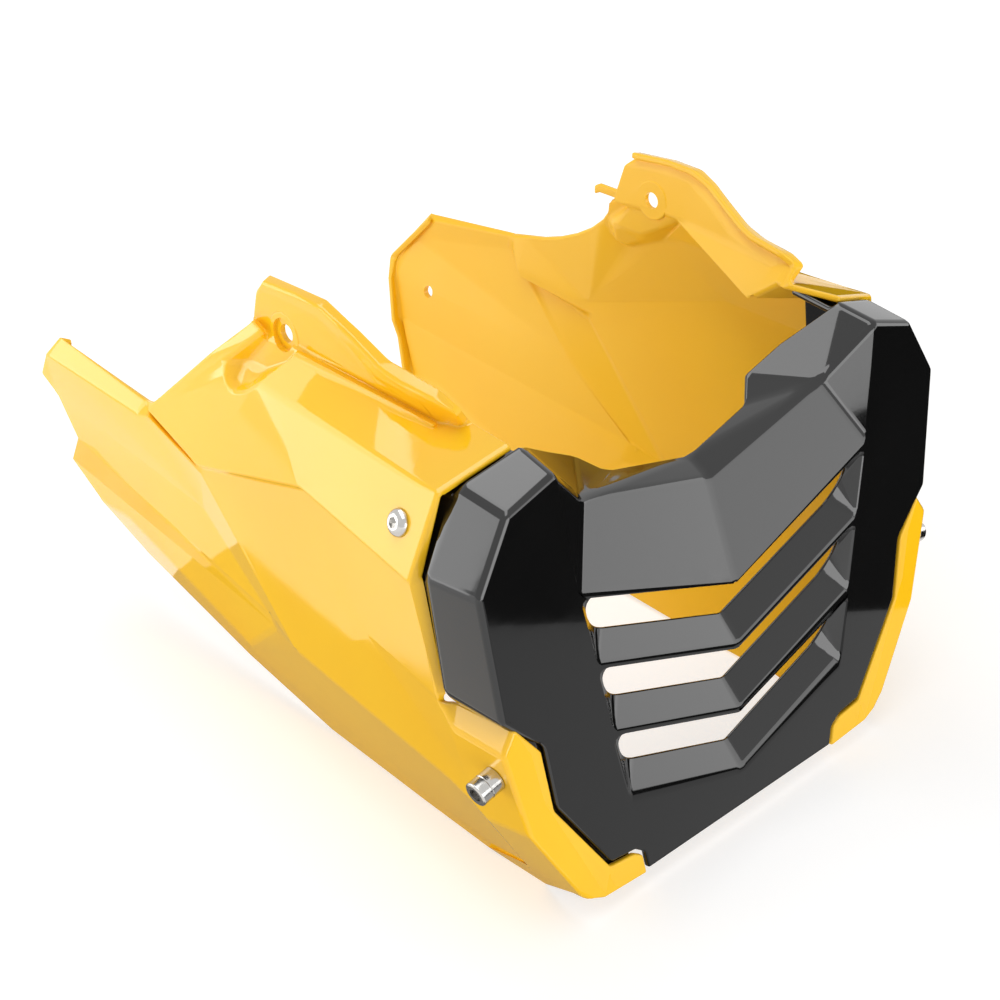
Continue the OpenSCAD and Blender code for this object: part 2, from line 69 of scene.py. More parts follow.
# Corners and facets of the side panels. A facet lists its corners' names, so the sheet folds along the
# lines that two facets share.
PANEL = {
    # front edge, from the top inner corner down to the front wrap
    "A0": (92, 43.5, 194.3), "A1": (122, 48.2, 184.6), "A2": (133, 52, 151), "A3": (126.2, 46.0, 102.3),
    "A4": (125.4, 45.3, 99.3), "T1": (121.2, 41.6, 99.6), "TL": (125.8, 38.7, 91.9),
    # front wrap over the lower corner of the grille
    "T2": face(119.8, 102.6), "F1": face(126, 94), "F2": face(117.5, 56), "F3": face(94, 15.5),
    "W1": face(107.8, 87.5), "W2": face(104, 60), "W3": face(77.8, 20.6), "W4": face(64.5, 19),
    "W5": face(60, 16), "W6": face(58.5, 7), "X1": face(82, 8.5), "X2": face(91, 12.5),
    "SW": (120.3, 36.5, 66.1),
    # creases of the lower skin, front to rear
    "C4M": (121.1, 90.4, 103.4), "C3E": (98.4, 31.5, 19.1), "C3F": (115.8, 31.0, 48.1),
    "C3G": (118.0, 37.5, 54.7), "C3D": (118.5, 48.6, 58.7), "C3C": (113.7, 149.0, 63.5),
    "C3B": (116.6, 204.1, 126.1), "C3A": (115.5, 243.3, 137.2), "G1": (110.2, 213.5, 102.2),
    "G2": (110.1, 175.4, 72.6), "C5E": (110.1, 169.0, 69.6), "C5F": (107.5, 171, 61),
    # overhanging lower edge of the upper skin
    "C2A": (113.1, 247.4, 137.8), "C2B": (119.0, 202.2, 131.1), "C2C": (124.8, 124.6, 156.0),
    # foot of the step under the upper skin
    "D2A": (110.7, 247.4, 135.9), "D2B": (116.4, 202.2, 129.0), "D2C": (122.2, 124.6, 153.9),
    "D2D": (130.4, 52, 148.9),
    # rear of the panel
    "RL": (108.9, 345.2, 117.6), "NO": (104.6, 341.2, 106.8), "W1R": (101, 334, 85.8),
    "W2R": (103.8, 331, 77), "RB": (98.9, 323.3, 54.9), "OB1": (112.3, 331.7, 133.8),
    "RT": (111, 318, 147),
    # return turned in along the rear edge
    "NT": (106.5, 316.5, 145), "NL": (103, 344.2, 117), "NN": (98, 340.4, 106.5),
    "NW": (93.5, 333.4, 85.8), "NX": (94.5, 330, 76.5), "NB2": (91.5, 322.5, 55.5),
    # lower edge of the rail and the edge turned in under it
    "L1": (99.5, 297.7, 56.8), "L2": (97.5, 207, 29.3), "L3": (95.5, 119.1, 17.5),
    "L4": (94, 76.6, 10.7), "M0": (93, 318.2, 44), "M1": (91, 296.2, 32.6), "M2": (89, 220.7, 12.1),
    "M3": (88.5, 162.8, 2), "M4": (88.5, 98.8, 0), "M5": (89, 60, 0), "B2": (94.2, 33.7, 11.7),
    "B1": (91.7, 18.9, 9.3),
    # top band of the ear, rear to front: inner edge, outer edge and foot
    "N2": (99.8, 168.5, 221.2), "N3": (100.9, 148.3, 222.6), "N4": (100.3, 132.9, 222.6),
    "N5": (100.2, 122.2, 218.9), "N6": (98.9, 115.4, 215.2), "N7": (97.0, 101.7, 207.8),
    "N8": (94.8, 93.2, 205.7), "N9": (93.6, 76.7, 203.4), "N10": (93.4, 68.0, 200.2),
    "O2": (105.5, 166.6, 220.2), "O3": (106.1, 146.4, 222.0), "O4": (106.0, 130.5, 221.6),
    "O5": (105.2, 121.8, 217.8), "O6": (103.9, 114.0, 213.4), "O7": (102.4, 100.4, 205.7),
    "O8": (100.9, 89.5, 203.1), "O9": (99.4, 73.9, 202.1), "O10": (97.6, 65.4, 199.9),
    "Q2": (103.8, 173.5, 213.4), "Q3": (104.3, 151.9, 215.6), "Q4": (104.3, 135.5, 215.8),
    "Q5": (103.2, 127.1, 212.2), "Q6": (102.1, 118.8, 207.5), "Q7": (100.5, 106.4, 199.2),
    "Q8": (99.0, 94.3, 196.1), "Q9": (97.3, 80.8, 195.1), "Q10": (93.7, 73.8, 191.3),
    "O11": (92.9, 68.1, 192.0), "N11": (88.7, 67.4, 193.3),
    # rib beside the recessed channel: foot, top and the edge of the bevelled face
    "V1": (94.8, 78.1, 190.6), "V2": (105.2, 144.8, 199.8), "I1": (98.5, 75.9, 191.4),
    "I2": (107.6, 145.3, 199.3), "R1": (98.3, 76.6, 189.6), "R2": (107.4, 145.9, 197.2),
    # scooped pocket below the ear: rim, then floor
    "KP": (103.0, 177.5, 201.5), "K1": (107.3, 171.5, 203.4), "U1": (109.8, 152.1, 190.3),
    "U2": (114.5, 161.4, 182.3), "U3": (114.7, 170.9, 175.2), "U4": (114.3, 179.9, 171.8),
    "U5": (113.1, 185.8, 174.5), "U6": (111.0, 187.9, 181.3), "U7": (108.9, 161.9, 202.6),
    "E1": (106.2, 154.4, 189.6), "E2": (106.8, 164.4, 184.0), "E3": (110.3, 169.3, 178.7),
    "E4": (110.5, 176.8, 174.2), "E5": (109.5, 182.8, 174.3), "E6": (105.8, 179.6, 182.6),
    "E7": (105.0, 165.3, 197.6),
    # top edge behind the ear of the left panel, a straight vee, and the two ends of the rear band there
    "K2": (110.6, 199.6, 180.1), "VAL": (112.6, 243.2, 142.3), "BL": (110.0, 252.0, 139.5),
    "OL": (114.5, 253.3, 133.5),
    # the same on the right panel, where it is a swept dip
    "S0": (108.4, 187.2, 191.5), "S1": (109.2, 188.5, 186.5), "S2": (110.2, 193, 180.3),
    "S3": (111, 201, 173.5), "S4": (111.5, 211, 167.5), "S5": (111.8, 222, 162.5),
    "S6": (111.9, 234, 158.5), "S7": (111.7, 246, 156), "BR": (111.3, 254, 154.5),
    "OR": (114, 257, 146.5),
}
LOWER = """
    W1 W2 F2 F1 T2, W2 W3 F3 F2, W3 X1 X2 F3, W3 W4 W5 W6 X1, F1 TL T1 T2, T1 TL A4, F1 F2 SW TL,
    F2 C3F C3G SW, F2 F3 C3E C3F, F3 B1 B2 C3E, X2 B1 F3, A3 D2D A2, A3 C4M D2C D2D, A4 C4M A3,
    SW C3G C3D C4M, A4 TL SW C4M, C4M C3C C3B D2B D2C, C4M C3D C3C, C3B C3A D2A D2B, D2D D2C C2C A2,
    D2C D2B C2B C2C, D2B D2A C2A C2B, G1 C3A C3B, G2 G1 C3B C3C, C5E G2 C3C, C5F W1R C5E, C5F C5E C3C,
    L2 L1 RB W2R W1R C5F, L3 L2 C5F C3C, L4 L3 C3C C3D, C3E L4 C3D C3G, C3E C3G C3F, M1 M0 RB L1,
    M2 M1 L1 L2, M3 M2 L2 L3, L4 M4 M3 L3, C3E M5 M4 L4, B2 M5 C3E, RL NL NT RT, NO NN NL RL, W1R NW NN NO,
    W2R NX NW W1R, RB NB2 NX W2R, M0 NB2 RB,
"""
TOP = """
    A1 N11 A0, A1 R1 V1, A1 V1 Q10, A1 Q10 O11, A1 O11 N11, N10 N11 O11 O10, O10 O11 Q10,
    N2 N3 O3 O2, O2 O3 Q3 Q2, N3 N4 O4 O3, O3 O4 Q4 Q3, N4 N5 O5 O4, O4 O5 Q5 Q4, N5 N6 O6 O5,
    O5 O6 Q6 Q5, N6 N7 O7 O6, O6 O7 Q7 Q6, N7 N8 O8 O7, O7 O8 Q8 Q7, N8 N9 O9 O8, O8 O9 Q9 Q8,
    N9 N10 O10 O9, O9 O10 Q10 Q9,
    R1 I1 V1, R2 V2 I2, I1 I2 V2 V1,
    V1 V2 Q8, V2 Q7 Q8, V2 Q6 Q7, V1 Q8 Q9, V1 Q9 Q10, V2 Q5 Q6, V2 Q4 Q5, V2 Q3 Q4, V2 KP Q3, KP Q2 Q3,
    V2 E7 KP, V2 E1 E7, V2 R2 E1, R2 U1 E1,
    E1 E2 E7, E2 E6 E7, E2 E3 E6, E3 E4 E6, E4 E5 E6, U1 U2 E2 E1,
    U2 U3 E3 E2, U3 U4 E4 E3, U4 U5 E5 E4, U5 U6 E6 E5, U6 U7 E7 E6, U7 K1 KP E7,
"""
# each run of the top edge behind the ear, with the ends of the rear band
REAR_EDGE = {LEFT: (["K2", "VAL"], "BL", "OL"), RIGHT: ([f"S{i}" for i in range(8)], "BR", "OR")}


def rear_facets(dip, band, outer):
    """The facets behind the ear, which differ with the run of the top edge."""
    last = dip[-1]
    near = min(2, len(dip) - 1)
    fan = [f"U6 {b} {a}" for a, b in zip(dip[:near], dip[1:near + 1])]
    fan += [f"C2B {b} {a}" for a, b in zip(dip[near:], dip[near + 1:])]
    return ", ".join(fan + [
        "U2 C2C C2B", "U3 U2 C2B", "U4 U3 C2B", "U5 U4 C2B", f"U5 C2B {dip[near]}", f"{last} C2B C2A",
        f"U6 U5 {dip[near]}", f"U7 U6 {dip[0]}", f"U7 {dip[0]} K1",
        f"{last} C2A D2A {band}", f"{band} D2A C3A {outer}", f"{outer} OB1 RT {band}",
        f"{outer} C3A G1", f"{outer} G1 OB1", "G1 G2 W1R", "G1 W1R NO", "G1 NO OB1", "NO RL OB1",
        "G2 C5E W1R", "RT OB1 RL"])


# Modelling helpers
def only(obj):
    """Selects just this object and makes it active."""
    bpy.ops.object.select_all(action="DESELECT")
    obj.select_set(True)
    bpy.context.view_layer.objects.active = obj


def corner_lists(facets):
    """The corners of each facet, and all their names in the order that the sheet's mesh has them."""
    lists = [f.split() for f in facets.replace("\n", " ").split(",") if f.strip()]
    return lists, sorted({n for f in lists for n in f})


def folded_sheet(name, corners, facets, side=RIGHT):
    """A sheet of flat facets between named corners, with its outer face outwards."""
    lists, names = corner_lists(facets)
    mesh = bpy.data.meshes.new(name)
    mesh.from_pydata([place(corners[n], side) for n in names], [],
                     [[names.index(n) for n in (f if side == RIGHT else f[::-1])] for f in lists])
    sheet = bpy.data.objects.new(name, mesh)
    bpy.context.scene.collection.objects.link(sheet)
    return sheet


def finished(obj, kind, **settings):
    """Adds a modifier and applies it."""
    only(obj)
    m = obj.modifiers.new(kind.title(), kind)
    for key, value in settings.items():
        setattr(m, key, value)
    bpy.ops.object.modifier_apply(modifier=m.name)


def thicken(obj, wall, group=""):
    """Gives the sheet its wall, inwards. The rim faces take material 1, so that soften can tell them."""
    obj.data.materials.append(None)
    obj.data.materials.append(None)
    finished(obj, "SOLIDIFY", thickness=wall * MM, offset=-1, use_even_offset=True, use_rim=True,
             use_quality_normals=True, vertex_group=group, thickness_vertex_group=0, material_offset_rim=1)


def soften(obj, crease, flat, share):
    """Rounds the creases and the rim, each no wider than the facets beside it have room for."""
    mesh = obj.data
    bm = bmesh.new()
    bm.from_mesh(mesh)
    if flat:
        bmesh.ops.dissolve_limit(bm, angle_limit=math.radians(flat), verts=bm.verts, edges=bm.edges,
                                 delimit={"MATERIAL"})
    layers = bm.edges.layers.float
    weight = layers.get("bevel_weight_edge") or layers.new("bevel_weight_edge")
    widest = max(crease, RIM)
    for e in bm.edges:
        if len(e.link_faces) != 2 or e.calc_face_angle(0) < math.radians(LEAST_CREASE):
            continue
        width = RIM if any(f.material_index for f in e.link_faces) else crease
        for f in e.link_faces:
            width = min([width] + [share / MM * n.calc_length() for n in f.edges
                                   if n != e and set(n.verts) & set(e.verts)])
            tall = f.calc_area() / e.calc_length() * (2 if len(f.edges) == 3 else 1)
            width = min(width, share / MM * tall)
        e[weight] = width / widest
    bm.to_mesh(mesh)
    bm.free()
    finished(obj, "BEVEL", width=widest * MM, segments=3, limit_method="WEIGHT",
             use_clamp_overlap=False, miter_outer="MITER_ARC")


def rounded(obj, width):
    """Rounds the sharp edges of a simple solid."""
    finished(obj, "BEVEL", width=width * MM, segments=3, limit_method="ANGLE")


def cut(obj, cutter, operation="DIFFERENCE"):
    finished(obj, "BOOLEAN", object=cutter, operation=operation, solver="EXACT")
    bpy.data.objects.remove(cutter)


def rod(radius, length, middle, along, sides=48):
    """A cylinder primitive, its middle and direction given in the row frame."""
    turn = Vector(along).to_track_quat("Z", "Y").to_euler()
    bpy.ops.object.select_all(action="DESELECT")
    bpy.ops.mesh.primitive_cylinder_add(vertices=sides, radius=radius * MM, depth=length * MM,
                                        location=middle, rotation=turn)
    return bpy.context.object


def settle(obj):
    """Puts the object's origin at the world's, with its place in its mesh."""
    only(obj)
    bpy.ops.object.transform_apply(location=True, rotation=True, scale=True)


def smooth(obj, angle=32):
    only(obj)
    bpy.ops.object.shade_smooth_by_angle(angle=math.radians(angle))
    finished(obj, "WEIGHTED_NORMAL", keep_sharp=True, weight=50)


def dress(obj, node, look):
    """Puts the finished piece in place of its CAD node."""
    settle(obj)
    obj.data.materials.clear()
    obj.data.materials.append(look)
    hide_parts(node)
    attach(obj, "root")


# Finishes
class Wire:
    """A socket of a material, with arithmetic that adds Math nodes."""

    def __init__(self, look, socket):
        self.look, self.socket = look, socket

    def __add__(self, other):
        return self.look.maths("ADD", self, other)

    def __mul__(self, other):
        return self.look.maths("MULTIPLY", self, other)

    __radd__, __rmul__ = __add__, __mul__


class Look:
    """A node material for one finish."""

    def __init__(self, name):
        self.material = bpy.data.materials.new(name)
        self.material.use_nodes = True
        self.tree = self.material.node_tree
        self.shader = self.tree.nodes["Principled BSDF"]
        self.place = self.node("ShaderNodeTexCoord", out="Object")

    def node(self, kind, out=0, settings=(), **sockets):
        """Any node by its type. A socket is named, or numbered as i0, i1 and so on."""
        made = self.tree.nodes.new(kind)
        for key, value in dict(settings).items():
            setattr(made, key, value)
        for key, value in sockets.items():
            numbered = key[0] == "i" and key[1:].isdigit()
            self.feed(made.inputs[int(key[1:]) if numbered else key], value)
        return Wire(self, made.outputs[out])

    def feed(self, socket, value):
        if isinstance(value, Wire):
            self.tree.links.new(value.socket, socket)
        else:
            socket.default_value = value

    def maths(self, operation, a, b):
        return self.node("ShaderNodeMath", settings={"operation": operation}, i0=a, i1=b)

    def noise(self, scale, detail=2.0, roughness=0.5):
        return self.node("ShaderNodeTexNoise", Vector=self.place, Scale=scale, Detail=detail,
                         Roughness=roughness)

    def spread(self, wire, low, high, to_low=0.0, to_high=1.0):
        """The wire's range from low to high, stretched to another range."""
        return self.node("ShaderNodeMapRange", i0=wire, i1=low, i2=high, i3=to_low, i4=to_high)

    def blend(self, factor, a, b):
        return self.node("ShaderNodeMix", out=2, settings={"data_type": "RGBA"}, i0=factor, i6=a, i7=b)

    def bump(self, height, strength, distance):
        return self.node("ShaderNodeBump", Height=height, Strength=strength, Distance=distance)

    def set(self, **sockets):
        for key, value in sockets.items():
            self.feed(self.shader.inputs[key.replace("_", " ")], value)
        return self.material


def moulded_gloss(name, colour, deeper, roughness, specks, coat, inner):
    """Gloss moulded plastic: a faint drift of colour, the ripple of a mould's polish and fine dust, and a
    duller inner face, which the mould leaves unpolished."""
    look = Look(name)
    drift = look.spread(look.noise(scale=9, detail=3), low=0.35, high=0.65)
    dust = look.spread(look.noise(scale=1400, detail=2), low=0.70, high=0.78)
    haze = look.spread(look.noise(scale=38, detail=4, roughness=0.6), low=0.35, high=0.75,
                       to_low=roughness, to_high=roughness * 1.9)
    waves = look.noise(scale=60, detail=2) + look.noise(scale=420, detail=2) * 0.12
    across = look.node("ShaderNodeSeparateXYZ", i0=look.place)
    facing = look.node("ShaderNodeSeparateXYZ", i0=look.node("ShaderNodeTexCoord", out="Normal"))
    inside = look.maths("LESS_THAN", across * facing, 0.0)
    return look.set(Base_Color=look.blend(drift, (*colour, 1), (*deeper, 1)),
                    Roughness=haze + dust * specks + inside * inner, IOR=1.5,
                    Coat_Weight=coat, Coat_Roughness=0.03,
                    Normal=look.bump(waves, strength=0.03, distance=0.001))


def bright_steel():
    """Plated steel, with fine marks and a little haze."""
    look = Look("plated_steel")
    marks = look.noise(scale=900, detail=3)
    tone = look.blend(look.noise(scale=300), (0.62, 0.61, 0.59, 1), (0.48, 0.47, 0.45, 1))
    return look.set(Base_Color=tone, Metallic=1.0,
                    Roughness=look.spread(marks, low=0.3, high=0.7, to_low=0.10, to_high=0.22),
                    Normal=look.bump(marks, strength=0.05, distance=0.0002))


yellow = moulded_gloss("yellow_gloss", (0.96, 0.56, 0.014), (0.94, 0.52, 0.010),
                       roughness=0.05, specks=0.10, coat=0.0, inner=0.34)
black = moulded_gloss("black_gloss", (0.0035, 0.0035, 0.0035), (0.005, 0.005, 0.005),
                      roughness=0.06, specks=0.12, coat=0.35, inner=0.0)
steel = bright_steel()


# Side panels
EAR = (105, 155.9, 201.6)          # middle of the hole in the ear
EAR_HOLE, EAR_DISH, EAR_PAD = 3.75, 6.6, 9.2          # radii
PAD_MIDDLE, PAD_LENGTH, PAD_ROUND = 102.6, 3.6, 0.9   # the raised ring inside the ear
DISH_MIDDLE, DISH_LENGTH = 104.9, 4                   # the shallow recess outside it
REAR_HOLE, REAR_HOLE_RADIUS = (109.5, 313, 106), 3.2
THROUGH = 40                       # length of a cutter that passes right through a wall
SPUR, SPUR_SIZE, SPUR_ROUND = (106.6, 184.5, 196.0), (2.4, 17, 4.2), 1.0
SPUR_TIP = (0, 3.2, -1.6)          # how the spur's end runs on and dips
CHAMFER_STEPS = 8


def ruled(corners, a, b, c, d, steps, tag):
    """Splits the twisted strip between edges a-b and c-d. Returns the names along each edge."""
    low, high = [a], [c]
    for k in range(1, steps):
        for names, p, q, mark in ((low, a, b, "l"), (high, c, d, "h")):
            names.append(f"{tag}{mark}{k}")
            corners[names[-1]] = tuple(m + (n - m) * k / steps for m, n in zip(corners[p], corners[q]))
    return low + [b], high + [d]


crease, ridge = ruled(PANEL, "A1", "U2", "R1", "R2", CHAMFER_STEPS, "X")
CHAMFER = ", ".join(f"{a} {b} {d} {c}" for a, b, c, d in zip(crease, crease[1:], ridge, ridge[1:]))
CHAMFER += f", R2 U2 U1, A1 A2 C2C, C2C {' '.join(crease[::-1])}, {' '.join(ridge)} I2 I1, "


def fill_step(panel, names):
    """Thickens the wall above the step, so that the inside runs on without one. Solidify puts the inner
    copy of each corner after all the outer ones."""
    verts = panel.data.vertices
    for upper, foot in (("C2A", "D2A"), ("C2B", "D2B"), ("C2C", "D2C"), ("A2", "D2D")):
        high, low = (verts[len(names) + names.index(n)] for n in (upper, foot))
        high.co.x = low.co.x
    # the inner copy of the acute corner under the front wrap lies level with the corner itself
    at = names.index("B2")
    corner = verts[at].co
    wall = math.copysign(PANEL_WALL * MM, corner.x)
    verts[len(names) + at].co = corner - Vector((wall, 0, 0))


def side_panel(name, side):
    facets = LOWER + TOP + CHAMFER + rear_facets(*REAR_EDGE[side])
    panel = folded_sheet(name, PANEL, facets, side)
    thicken(panel, PANEL_WALL)
    fill_step(panel, corner_lists(facets)[1])
    soften(panel, PANEL_CREASE, FLAT, PANEL_SHARE)
    return panel


def hooked_spur():
    """The small spur behind the right ear: a flat bar whose rear end dips, rounded all over."""
    bpy.ops.object.select_all(action="DESELECT")
    bpy.ops.mesh.primitive_cube_add(size=1, location=place(SPUR))
    bar = bpy.context.object
    bar.scale = [size * MM for size in SPUR_SIZE]
    settle(bar)
    bpy.ops.object.mode_set(mode="EDIT")
    bpy.ops.mesh.select_all(action="DESELECT")
    bpy.ops.object.mode_set(mode="OBJECT")
    for f in bar.data.polygons:
        f.select = f.normal.y > 0.9    # its rear end
    bpy.ops.object.mode_set(mode="EDIT")
    bpy.ops.mesh.extrude_region_move(TRANSFORM_OT_translate={"value": [d * MM for d in SPUR_TIP]})
    bpy.ops.object.mode_set(mode="OBJECT")
    rounded(bar, SPUR_ROUND)
    return bar


for side, word in ((LEFT, "left"), (RIGHT, "right")):
    panel = side_panel(f"{word}_panel", side)
    out = Vector((side, 0, 0))
    pad = rod(EAR_PAD, PAD_LENGTH, place((PAD_MIDDLE, *EAR[1:]), side), out)
    rounded(pad, PAD_ROUND)
    cut(panel, pad, "UNION")
    cut(panel, rod(EAR_DISH, DISH_LENGTH, place((DISH_MIDDLE, *EAR[1:]), side), out))
    cut(panel, rod(EAR_HOLE, THROUGH, place(EAR, side), out))
    if side == RIGHT:
        cut(panel, rod(REAR_HOLE_RADIUS, THROUGH, place(REAR_HOLE), out))
        cut(panel, hooked_spur(), "UNION")
    smooth(panel)
    dress(panel, f"{word}_side_panel", yellow)


# Front grille, of which the right half is folded and then mirrored
BACK = 3.4                         # the flange sits this far behind the face
GRILLE = {
    # foot of the hood, its crease and its rear edge
    "H0": face(0, 110.6), "HB": face(84, 141.2), "HM": (0, 30.4, 150.5), "HT": (68.2, 31.6, 168.4),
    "NB": (66, 51.5, 179), "NC": (49, 54.8, 169.5), "ND": (39.5, 46.7, 162.6), "NE": (0, 41, 156.3),
    # outline of the face and, behind it, the rear edge of the rim
    "FA": face(90, 190.5), "FB": face(113.5, 183.5), "FC": face(129.6, 158), "FD": face(124.8, 106),
    "FE": face(121, 102.2), "GA": (88.4, 41.4, 193.6), "GB": (114.6, 45, 185.9), "GC": (132, 44, 156.7),
    "GD": (128.8, 39.5, 109), "GE": (123.6, 36.5, 102.2),
    # edge of the face beside the yellow wraps
    "VA": face(106.4, 89.2), "VB": face(102.6, 60.4), "VC": face(77.2, 22.1), "VD": face(64.3, 20.6),
    "VE": face(58.8, 17), "VF": face(57.3, 8.3), "BC": face(0, 8.3),
    # flange behind the wraps
    "JE": face(116, 98, BACK), "JA": face(106.4, 89.2, BACK), "JB": face(102.6, 60.4, BACK),
    "JC": face(77.2, 22.1, BACK), "JD": face(64.3, 20.6, BACK), "KA": face(118.6, 91, BACK),
    "KB": face(111.6, 58, BACK), "KC": face(88.5, 21.5, BACK), "KD": face(80, 14, BACK),
    "KE": face(64, 12, BACK),
    # leg of that flange along the side of the wrap
    "LA": (119, 31, 88), "LB": (113.2, 31, 62),
    # flange under the side panels
    "PA": (88.6, 45, 190.2), "PB": (117.8, 49, 180.8), "PC": (127, 49, 152), "PD": (122.8, 44, 108),
    "QA": (90.5, 66, 191.6), "QB": (116.6, 78, 180.6), "QC": (124, 80, 152.5), "QD": (119.6, 66, 110),
}
FRONT = """
    H0 T0 HB, HB T0 B0 T1 B1 T2 B2 VD VC VB VA FE FD FC FB FA, Z2 BC VF VE VD B2,
    Z0 Y1 T1 B0, Z1 Y2 T2 B1,
    HM H0 HB HT, HB FA HT, FA GA HT, GA NB HT, HT NB NC, HT NC ND, HT ND NE, HT NE HM,
    FB GB GA FA, FC GC GB FB, FD GD GC FC, FE GE GD FD,
    GA GB PB, GA PB PA, GB GC PC PB, GC GD PD PC, PA PB QB QA, PB PC QC QB, PC PD QD QC,
    VA JA JE FE, VB JB JA VA, VC JC JB VB, VD JD JC VC, JA KA JE, JB KB KA JA, JC KC KB JB, JC KD KC,
    JD KE KD JC, KA KB LB LA
"""
# the louvres: how many, the drop from one to the next, the first one's height on the mid-plane and half
# length, how much shorter each half gets, and the rise of the vee for each millimetre outwards
LOUVRES, PITCH, LOUVRE_Z, HALF, TAPER, VEE = 3, 29.3, 84, 77, 5.8, 0.34
# a louvre's rise to its back and the strip of face left under it; how deep its slot's lower and upper
# edges lie
RISE, BAR, DEPTH, RIM_DEPTH = 10, 2.8, 8.6, 2.6
# the slot's rounded end: the width of the slope outside it, its bulge and the facets round it
END_SLOPE, END_ROUND, ARC = 4.5, 6.5, 7
WELD = 0.02                        # corners this close to the mid-plane become one in the mirror


def edge(i, x):
    """Height of louvre i's front edge."""
    return LOUVRE_Z - i * PITCH + VEE * x


def lid(i, x):
    """Height of the upper edge of louvre i's pocket."""
    return edge(i, x) + PITCH - BAR


def pocket(i):
    """Names and places the corners of louvre i on the right half, and lists its facets."""
    top, low = HALF - (i - 1) * TAPER, HALF - i * TAPER
    GRILLE[f"T{i}"], GRILLE[f"B{i}"] = face(top, lid(i, top)), face(low, edge(i, low))
    GRILLE[f"Z{i}"] = face(0, edge(i, 0))
    upper = "H0" if i == 0 else f"Y{i}"
    if i:
        GRILLE[upper] = face(0, lid(i, 0))
    for k in range(ARC + 1):
        turn = math.pi * k / ARC
        share = (1 - math.cos(turn)) / 2
        end = (top + (low - top) * share) - END_SLOPE - END_ROUND
        x = end + END_ROUND * math.sin(turn)
        z = lid(i, end) * (1 - share) + (edge(i, end) + RISE) * share + VEE * (x - end)
        GRILLE[f"R{i}_{k}"] = face(x, z, RIM_DEPTH + (DEPTH - RIM_DEPTH) * share)
    GRILLE[f"M{i}"] = face(0, lid(i, 0), RIM_DEPTH)
    GRILLE[f"W{i}"] = face(0, edge(i, 0) + RISE, DEPTH)
    half = ARC // 2 + 1
    return ", ".join(
        [f"{upper} M{i} R{i}_0 T{i}"] + [f"T{i} R{i}_{k} R{i}_{k + 1}" for k in range(half)]
        + [f"T{i} R{i}_{half} B{i}"] + [f"B{i} R{i}_{k} R{i}_{k + 1}" for k in range(half, ARC)]
        + [f"Z{i} B{i} R{i}_{ARC} W{i}"])


facets = FRONT + ", " + ", ".join(pocket(i) for i in range(LOUVRES))
grille = folded_sheet("grille", GRILLE, facets)
fine = grille.vertex_groups.new(name="wall")
for i, n in enumerate(corner_lists(facets)[1]):
    louvre = n[0] in "RZYT" or n in ("H0", "B0", "B1", "B2") or (n[0] in "MW" and n[1:].isdigit())
    fine.add([i], LOUVRE_WALL / GRILLE_WALL if louvre else 1.0, "REPLACE")
finished(grille, "MIRROR", use_axis=(True, False, False), merge_threshold=WELD * MM, use_clip=True)
thicken(grille, GRILLE_WALL, "wall")
soften(grille, GRILLE_CREASE, 0, GRILLE_SHARE)
smooth(grille)
dress(grille, "front_grille", black)


# Screws. Each stands on a point of a facet, which it meets square: the facet's corners, and how far along
# its two edges from the first of them.
BUTTON_SEAT = ("A1", "A2", "C2C", 0.338, 0.19)
CAP_SEAT = ("TL", "F1", "F2", 0.293, 0.371)
COLLAR_LENGTH, COLLAR_BORE, COLLAR_CUTTER = 5.6, 6.6, 20
# hexagon sockets: width over the corners, the cutter's length and its middle above the head's foot
BUTTON_SOCKET, CAP_SOCKET = (4.6, 4, 3.1), (5.8, 5, 4.7)
# radius and height of each ring: the shank's bevelled tip, below the seat, and the heads and the collar,
# each from its own foot
TIP, SHANK = -8.5, 3.0
POINT = [(2.4, TIP), (SHANK, TIP + 0.6)]
BUTTON_HEAD = [(4.9, 0.0), (5.25, 0.25), (5.2, 0.75), (4.95, 1.3), (4.5, 1.85), (3.9, 2.35), (3.3, 2.7),
               (2.85, 2.88), (2.6, 2.9)]
CAP_HEAD = [(4.75, 0.0), (5.0, 0.2), (5.0, 4.1), (4.85, 4.5), (4.45, 4.75), (3.6, 4.8)]
COLLAR = [(4.6, 0.0), (5.0, 0.3), (5.0, COLLAR_LENGTH - 0.3), (4.7, COLLAR_LENGTH)]
CAP_FOOT = COLLAR_LENGTH + 0.05           # just clear of the collar


def seat(first, second, third, share_2, share_3, side):
    """The point under a screw's head and the direction out of the panel there."""
    a, b, c = (place(PANEL[n], side) for n in (first, second, third))
    out = (b - a).cross(c - a).normalized() * side
    return a + (b - a) * share_2 + (c - a) * share_3, out


def turned(name, point, out, profile, sides=64):
    """A turned piece: a disc primitive, extruded and scaled ring by ring up its profile of radius and
    height, and stood on a point."""
    (radius, height), *rest = profile
    bpy.ops.object.select_all(action="DESELECT")
    bpy.ops.mesh.primitive_circle_add(vertices=sides, radius=radius * MM, fill_type="NGON",
                                      location=(0, 0, height * MM))
    piece = bpy.context.object
    piece.name = name
    bpy.ops.object.mode_set(mode="EDIT")
    bpy.ops.mesh.select_all(action="SELECT")
    for wide, high in rest:
        bpy.ops.mesh.extrude_region_move(TRANSFORM_OT_translate={"value": (0, 0, (high - height) * MM)})
        share = wide / radius
        bpy.ops.transform.resize(value=(share, share, 1), center_override=(0, 0, high * MM))
        radius, height = wide, high
    bpy.ops.mesh.select_all(action="SELECT")
    bpy.ops.mesh.normals_make_consistent(inside=False)
    bpy.ops.object.mode_set(mode="OBJECT")
    settle(piece)
    piece.matrix_world = Matrix.Translation(point) @ out.to_track_quat("Z", "Y").to_matrix().to_4x4()
    settle(piece)
    return piece


